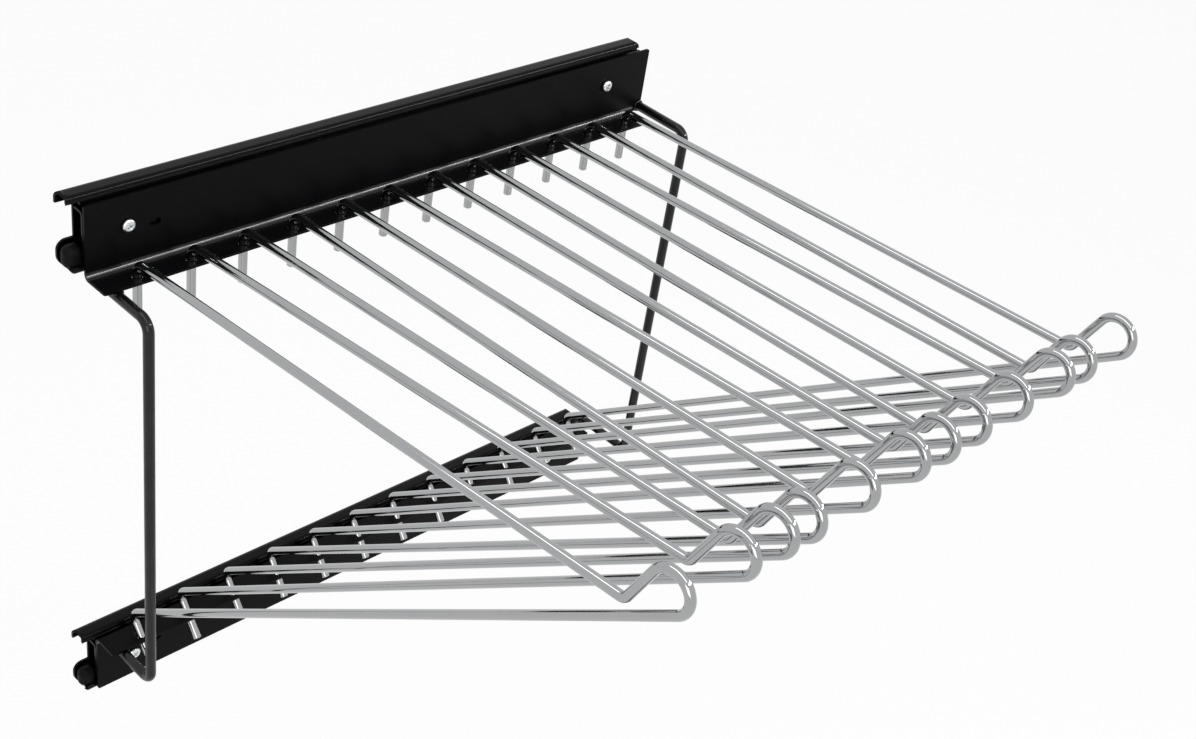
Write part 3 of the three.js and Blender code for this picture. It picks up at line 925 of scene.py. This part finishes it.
class RackRods(bpy.types.Operator):
    """Bend the two joining rods and lay the weld beads that hold them"""

    bl_idname = "rack.rods"
    bl_label = "Joining Rods"

    bead_sides = 12
    ring_thickness_share = 0.55
    ring_out_share = 0.1
    ring_lift_share = 0.2
    ring_ripple = 1.16
    ring_merge = CLOSE
    seam_place_share = 0.36
    seam_tip_share = 0.2
    seam_swell = 2.6
    seam_ripple = 1.18

    def execute(self, context):
        size = context.scene.rack_rod
        for end in ("rear", "front"):
            node = f"joining_rod_{end}"
            back, out = low(node), high(node)
            radius = size.bar / 2
            reach = out.x - radius
            legs = (out.z - radius, back.z + radius)
            y = (back.y + out.y) / 2
            corners = [Vector((reach, y, legs[0])), Vector((reach, y, legs[1])), Vector((back.x, y, legs[1]))]

            def walk(former):
                former.follow(corners[:2] + [corners[2] + Vector((size.chamfer, 0, 0))], size.bend, size.bend)

            start = Vector((back.x, y, legs[0]))
            rod = sweep_wire(f"bent_rod_{end}", start, (1, 0, 0), size.bar, size.sides, size.chamfer, walk)
            finish_piece(rod, "carriage", node, "glossy_powder_coat", smooth=40)
            for level, leg in zip(LEVELS, legs):
                bead = self.weld(end, size, Vector((back.x, y, leg)))
                bead.name = bead.data.name = f"weld_{end}_{level}"
                finish_piece(bead, "carriage", None, "glossy_powder_coat", smooth=60)
        return {"FINISHED"}

    def weld(self, end, size, place):
        """A rippled bead: round the butt end of the front rod, along both sides of the rear rod"""
        if end == "front":
            return self.ring_bead(size, place)
        off = size.bar * self.seam_place_share
        starts = [place + Vector((size.bead, way * off, off)) for way in (-1, 1)]
        return join([self.straight_bead(size, start) for start in starts])

    def ring_bead(self, size, place):
        radius = size.bar / 2 + size.bead * self.ring_out_share
        start = place + Vector((size.bead * self.ring_lift_share, radius, 0))
        thickness = size.bead * self.ring_thickness_share
        bead = add_disc("weld_ring", self.bead_sides, thickness, start, fill="NOTHING")
        ripples = size.ripples * 2
        with Editing(bead) as edit:
            edit.pick_all()
            for step in range(ripples):
                bpy.ops.mesh.spin(steps=2, angle=2 * math.pi / ripples, center=place, axis=(1, 0, 0))
                grow = self.ring_ripple if step % 2 else 1 / self.ring_ripple
                bpy.ops.transform.resize(value=(grow,) * 3)
            edit.pick_all()
            bpy.ops.mesh.remove_doubles(threshold=self.ring_merge)
            edit.face_outward()
        return bead

    def straight_bead(self, size, start):
        bead = add_disc("weld_seam", self.bead_sides, size.bead * self.seam_tip_share, start, TOWARDS_X)
        at = start.copy()
        ripples = [self.seam_ripple, 1 / self.seam_ripple] * size.ripples
        factors = [self.seam_swell] + ripples + [1 / self.seam_swell]
        step = Vector((size.seam / len(factors), 0, 0))
        with Editing(bead) as edit:
            edit.pick_all()
            for grow in factors:
                at += step
                extrude(step)
                bpy.ops.transform.resize(value=(1, grow, grow), center_override=at)
            edit.face_outward()
        return bead


def member_planes(node, size):
    """A member's back and front planes, half its sheet, and how high the middle of its top sheet is"""
    back, end = low(node), high(node)
    half = size.sheet / 2
    return back.x, end.x, half, (end.z - back.z) / 2 - half


def outer_section(node, size):
    back, front, half, top = member_planes(node, size)
    lip_end = top + half - size.hook
    flared = front - half - size.flare
    return [
        point(front - half, lip_end),
        point(flared, lip_end + size.flare_rise),
        point(flared, top),
        point(back + half, top),
    ]


def middle_section(node, size):
    back, front, half, top = member_planes(node, size)
    return [point(front, top), point(back + half, top)]


def inner_section(node, size):
    back, front, half, top = member_planes(node, size)
    return [point(back, top), point(front - half, top)]


def fold_rail(node, name, section, bends, size):
    height = middle_height(node)
    path = raised(mirrored(section), height)
    return fold_strip(name, path, bends + bends[::-1], low(node).y, high(node).y, size.sheet)


def finish_rail(piece, body, node, size):
    soften(piece, size.edge)
    finish_piece(piece, body, node, "black_rail_enamel")


def wall_screw_places(node, size):
    """Where the screws to the side panel stand along the rail"""
    front = high(node.replace("middle", "outer")).y
    return [front - size.first_hole - number * size.hole_pitch for number in range(size.holes)]


class RackOuterRails(bpy.types.Operator):
    """Fold the outer rail members with their rolled lips, notch and screw holes"""

    bl_idname = "rack.outer_rails"
    bl_label = "Outer Rails"

    tab_corner_share = 0.8
    countersink_share = 0.8

    def execute(self, context):
        size = context.scene.rack_rail
        for level in LEVELS:
            node = f"outer_rail_{level}"
            bends = [size.flare_bend, size.lip_bend, size.web_bend]
            piece = fold_rail(node, f"rolled_outer_rail_{level}", outer_section(node, size), bends, size)
            self.round_ends(piece, node, size)
            web = low(node).x + size.sheet / 2
            height = middle_height(node)
            punches = [self.notch(node, size, web, height)]
            for y in wall_screw_places(node, size):
                punches.append(drill(size.screw_hole, size.sheet, (web, y, height), "X"))
                punches.append(self.countersink(size, (low(node).x + size.sheet, y, height)))
            for punch in punches:
                cut_away(piece, [punch])
            self.round_tab(piece, node, size, height - size.notch_low)
            finish_rail(piece, "root", node, size)
        return {"FINISHED"}

    def round_ends(self, piece, node, size):
        """Keeps what lies inside a block whose corners are rounded, seen from the room"""
        back, end = low(node), high(node)
        sides = (end.x * 2, end.y - back.y, end.z - back.z)
        block = add_block("end_rounder", sides, middle_of(node))
        with Editing(block) as edit:
            edit.pick("edges", lambda edge: self.runs_through(edge) and self.is_tab(edge, node))
            edit.round_off(size.tab_round, segments=10)
            edit.pick("edges", lambda edge: self.runs_through(edge) and edge.calc_face_angle(0) > CORNER_TURN)
            edit.round_off(size.end_round)
        apply_modifier(piece, "BOOLEAN", operation="INTERSECT", object=block, solver="EXACT")
        bpy.data.objects.remove(block, do_unlink=True)

    def round_tab(self, piece, node, size, height):
        """Rounds the corner of the web under the notch"""
        corner = Vector((low(node).y, height))

        def is_web_corner(edge):
            return self.runs_through(edge) and (edge.verts[0].co.yz - corner).length < CLOSE

        with Editing(piece) as edit:
            edit.pick("edges", is_web_corner)
            edit.round_off(size.tab_round * self.tab_corner_share)

    def notch(self, node, size, web, height):
        """The rounded notch in the web at the rear end"""
        rear = low(node).y
        tall = size.notch_high + size.notch_low
        sides = (size.sheet * 3, size.notch * 2, tall)
        block = add_block("notch_punch", sides, (web, rear, height + size.notch_high - tall / 2))

        def is_inner(edge):
            return all(corner.co.y > rear for corner in edge.verts) and self.runs_through(edge)

        with Editing(block) as edit:
            edit.pick("edges", is_inner)
            edit.round_off(size.notch_round)
        return block

    def is_tab(self, edge, node):
        """An edge in the lower half, at the rear"""
        middle = middle_of(node)
        return all(corner.co.y < middle.y and corner.co.z < middle.z for corner in edge.verts)

    def runs_through(self, edge):
        """An edge that runs along X, through the sheet"""
        one, other = (corner.co for corner in edge.verts)
        return abs(one.y - other.y) + abs(one.z - other.z) < CLOSE

    def countersink(self, size, place):
        """A cone that widens a screw hole towards the side that the screw's head is on"""
        return add_primitive(
            "countersink",
            bpy.ops.mesh.primitive_cone_add,
            vertices=32,
            radius1=0,
            radius2=size.screw_rim / 2,
            depth=size.sheet * self.countersink_share * 2,
            location=place,
            rotation=TOWARDS_X,
        )


class RackMiddleRails(bpy.types.Operator):
    """Fold the middle rail members with their access holes"""

    bl_idname = "rack.middle_rails"
    bl_label = "Middle Rails"

    def execute(self, context):
        size = context.scene.rack_rail
        for level in LEVELS:
            node = f"middle_rail_{level}"
            section = middle_section(node, size)
            piece = fold_rail(node, f"folded_middle_rail_{level}", section, [size.bend], size)
            web = low(node).x + size.sheet / 2
            places = [(web, y, middle_height(node)) for y in wall_screw_places(node, size)]
            cut_away(piece, [drill(size.access_hole, size.sheet, place, "X") for place in places])
            finish_rail(piece, node, node, size)
        return {"FINISHED"}


class RackInnerRails(bpy.types.Operator):
    """Fold the inner rail members that the carriers are screwed to"""

    bl_idname = "rack.inner_rails"
    bl_label = "Inner Rails"

    def execute(self, context):
        size = context.scene.rack_rail
        for level in LEVELS:
            node = f"inner_rail_{level}"
            section = inner_section(node, size)
            piece = fold_rail(node, f"folded_inner_rail_{level}", section, [size.bend], size)
            face = high(node).x - size.sheet / 2
            places = [(face, middle.y, middle.z) for middle in screw_middles(level).values()]
            cut_away(piece, [drill(size.screw_hole, size.sheet, place, "X") for place in places])
            finish_rail(piece, "carriage", node, size)
        return {"FINISHED"}


class RackCages(bpy.types.Operator):
    """Fold the ball cages, punch their pockets and set the balls in them"""

    bl_idname = "rack.cages"
    bl_label = "Ball Cages"

    def execute(self, context):
        size = context.scene.rack_cage
        for node in sorted(name for name in frame["nodes"] if "ball_cage" in name):
            self.fold(node, size)
        return {"FINISHED"}

    def fold(self, node, size):
        back, end = low(node), high(node)
        half = size.sheet / 2
        height = middle_height(node)
        arm = (end.z - back.z) / 2 - size.ball / 2
        section = [point(end.x, arm), point(back.x + half, arm)]
        path = raised(mirrored(section), height)
        is_outer = node.startswith("outer")
        bends = [size.outer_bend if is_outer else size.bend] * 2
        piece = fold_strip(node.replace("ball_cage", "cage"), path, bends, back.y, end.y, size.sheet)
        rows = [height + arm, height - arm]
        first = back.y + size.margin
        pitch = (end.y - back.y - 2 * size.margin) / (size.balls - 1)
        ball_x = end.x - size.ball / 2 - (size.outer_spare if is_outer else size.inner_spare)
        places = [Vector((ball_x, first + number * pitch, z)) for z in rows for number in range(size.balls)]
        cut_away(piece, [drill(size.pocket, size.sheet, place, "Z", sides=16) for place in places])
        piece = join([piece] + [self.ball(size, place) for place in places])
        finish_piece(piece, node, node, "oiled_bare_steel", smooth=40)

    def ball(self, size, place):
        """A cube whose finely divided faces are drawn out to a sphere"""
        cube = size.ball / math.sqrt(3)
        ball = add_primitive("ball", bpy.ops.mesh.primitive_cube_add, size=cube, location=place)
        with Editing(ball) as edit:
            edit.pick_all()
            bpy.ops.mesh.subdivide(number_cuts=3)
            bpy.ops.transform.tosphere(value=1)
        return ball


class RackBuffers(bpy.types.Operator):
    """Mould the rubber buffers at the rear ends of the rails"""

    bl_idname = "rack.buffers"
    bl_label = "Rear Buffers"

    def execute(self, context):
        size = context.scene.rack_rail
        for level in LEVELS:
            node = f"rear_buffer_{level}"
            piece = add_block(f"rubber_buffer_{level}", high(node) - low(node), middle_of(node))
            with Editing(piece) as edit:
                edit.pick("edges", lambda edge: abs(edge.verts[0].co.y - edge.verts[1].co.y) > MILLIMETRE)
                edit.round_off(size.buffer_side)
                edit.pick("faces", lambda face: face.normal.y < -FACING)
                edit.round_off(size.buffer_nose)
            finish_piece(piece, "root", node, "moulded_rubber")
        return {"FINISHED"}


class RackStudio(bpy.types.Operator):
    """Set up the pale floor, the soft lamps, the room light and the camera"""

    bl_idname = "rack.studio"
    bl_label = "Studio"

    film_width = 36
    nearest = 0.01
    farthest = 50
    aim = Vector((0.1, 0, -0.08))
    lamps = {
        "key": {"place": (0.2, -0.35, 1.5), "along": (1, 0, 0), "wide": 2.4, "deep": 0.4},
        "fill": {"place": (1.3, -1.2, 0.35), "along": (1, 1, 0), "wide": 0.8, "deep": 0.8},
        "rim": {"place": (0.96, 0.79, 0.63), "along": (-0.16, 0.64, -0.14), "wide": 1.5, "deep": 0.06},
    }

    def execute(self, context):
        size = context.scene.rack_studio
        self.lay_floor(size)
        self.light_room(context.scene, size)
        self.hang_lamps(size)
        self.place_camera(context.scene, size)
        context.scene.view_settings.view_transform = "Standard"
        return {"FINISHED"}

    def lay_floor(self, size):
        drop = SOLIDS_BOX[0][2] - size.floor_drop
        plane = bpy.ops.mesh.primitive_plane_add
        floor = add_primitive("studio_floor", plane, size=size.floor_size, location=(0, 0, drop))
        with Editing(floor) as edit:
            edit.pick_all()
            bpy.ops.mesh.subdivide(number_cuts=8)
        material, shade = new_material("pale_floor")
        grain = shade.noise(shade.stretched(), scale=3, detail=4)
        tone = grain.blend(opaque(size.floor), opaque(size.floor, 0.985))
        paper = shade.node("ShaderNodeBsdfDiffuse", {"Color": tone, "Roughness": 1.0})
        glow = shade.node("ShaderNodeEmission", {"Color": (1, 1, 1, 1), "Strength": 1.0})
        share = self.seen_rays(shade) * size.floor_glow
        surface = shade.node("ShaderNodeMixShader", {0: share, 1: paper, 2: glow})
        show_surface(material, shade, surface)
        floor.data.materials.append(material)

    def seen_rays(self, shade):
        """1 for rays from the camera, and for those that metal or glass sends on"""
        rays = [shade.node("ShaderNodeLightPath", output=name) for name in SEEN_RAYS]
        return shade.sum("MINIMUM", rays[0] + rays[1] + rays[2], 1.0)

    def light_room(self, scene, size):
        """White where it is seen or mirrored, and a plain grey light from overhead"""
        world = bpy.data.worlds.new("studio_room")
        world.use_nodes = True
        world.node_tree.nodes.clear()
        shade = Shade(world.node_tree)
        place = shade.node("ShaderNodeTexCoord", output="Generated")
        height = shade.node("ShaderNodeSeparateXYZ", {0: place}, output="Z")
        reach = {"Value": height, "From Min": 0.15, "From Max": 0.75}
        reach.update({"To Min": size.dark, "To Max": size.ceiling})
        overhead = shade.node("ShaderNodeMapRange", reach)
        white = self.seen_rays(shade)
        tone = white * size.horizon + (1 - white) * overhead
        back = shade.node("ShaderNodeBackground", {"Color": tone, "Strength": 1.0})
        output = shade.tree.nodes.new("ShaderNodeOutputWorld")
        shade.tree.links.new(back.link, output.inputs["Surface"])
        scene.world = world

    def hang_lamps(self, size):
        """Each lamp looks at the rack, and its long side runs along a direction of its own"""
        for name, given in self.lamps.items():
            place = Vector(given["place"])
            select_only()
            bpy.ops.object.light_add(type="AREA", location=place)
            lamp = bpy.context.object
            lamp.name = f"{name}_lamp"
            lamp.data.shape = "RECTANGLE"
            lamp.data.size = given["wide"]
            lamp.data.size_y = given["deep"]
            lamp.data.energy = getattr(size, name)
            backward = (place - self.aim).normalized()
            upward = backward.cross(Vector(given["along"])).normalized()
            turn = Matrix((upward.cross(backward), upward, backward)).transposed()
            lamp.matrix_world = Matrix.Translation(place) @ turn.to_4x4()

    def place_camera(self, scene, size):
        select_only()
        bpy.ops.object.camera_add()
        camera = bpy.context.object
        camera.name = "studio_camera"
        turn = Matrix.Rotation(size.pan, 4, "Z") @ Matrix.Rotation(size.tilt, 4, "X")
        camera.matrix_world = Matrix.Translation(size.eye_place) @ turn @ Matrix.Rotation(size.roll, 4, "Z")
        camera.data.sensor_width = self.film_width
        camera.data.lens = size.lens
        camera.data.shift_x = size.shift_x
        camera.data.shift_y = size.shift_y
        camera.data.clip_start = self.nearest
        camera.data.clip_end = self.farthest
        scene.camera = camera


SETTINGS = {
    "rack_wire": RackWireSettings,
    "rack_sheet": RackSheetSettings,
    "rack_screw": RackScrewSettings,
    "rack_rod": RackRodSettings,
    "rack_rail": RackRailSettings,
    "rack_cage": RackCageSettings,
    "rack_finish": RackFinishSettings,
    "rack_studio": RackStudioSettings,
}
OPERATORS = (
    RackOuterRails,
    RackBuffers,
    RackMiddleRails,
    RackInnerRails,
    RackCages,
    RackCarriers,
    RackScrews,
    RackRods,
    RackHangers,
    RackStudio,
)


class RackPanel(bpy.types.Panel):
    """The sizes and finishes of the rack, and a button for each group of pieces"""

    bl_idname = "VIEW3D_PT_trouser_rack"
    bl_label = "Pull-out Trouser Rack"
    bl_space_type = "VIEW_3D"
    bl_region_type = "UI"
    bl_category = "Trouser Rack"

    def draw(self, context):
        for operator in OPERATORS:
            self.layout.operator(operator.bl_idname)
        for group, settings in SETTINGS.items():
            box = self.layout.box()
            box.label(text=settings.__doc__)
            for key in settings.__annotations__:
                box.prop(getattr(context.scene, group), key)


def register():
    for group, settings in SETTINGS.items():
        bpy.utils.register_class(settings)
        setattr(bpy.types.Scene, group, PointerProperty(type=settings))
    for operator in OPERATORS:
        bpy.utils.register_class(operator)
    bpy.utils.register_class(RackPanel)


def unregister():
    bpy.utils.unregister_class(RackPanel)
    for operator in reversed(OPERATORS):
        bpy.utils.unregister_class(operator)
    for group, settings in SETTINGS.items():
        delattr(bpy.types.Scene, group)
        bpy.utils.unregister_class(settings)


def main():
    register()
    bpy.ops.rack.outer_rails()
    bpy.ops.rack.buffers()
    bpy.ops.rack.middle_rails()
    bpy.ops.rack.inner_rails()
    bpy.ops.rack.cages()
    bpy.ops.rack.carriers()
    bpy.ops.rack.screws()
    bpy.ops.rack.rods()
    bpy.ops.rack.hangers()
    bpy.ops.rack.studio()


if __name__ == "__main__":
    main()
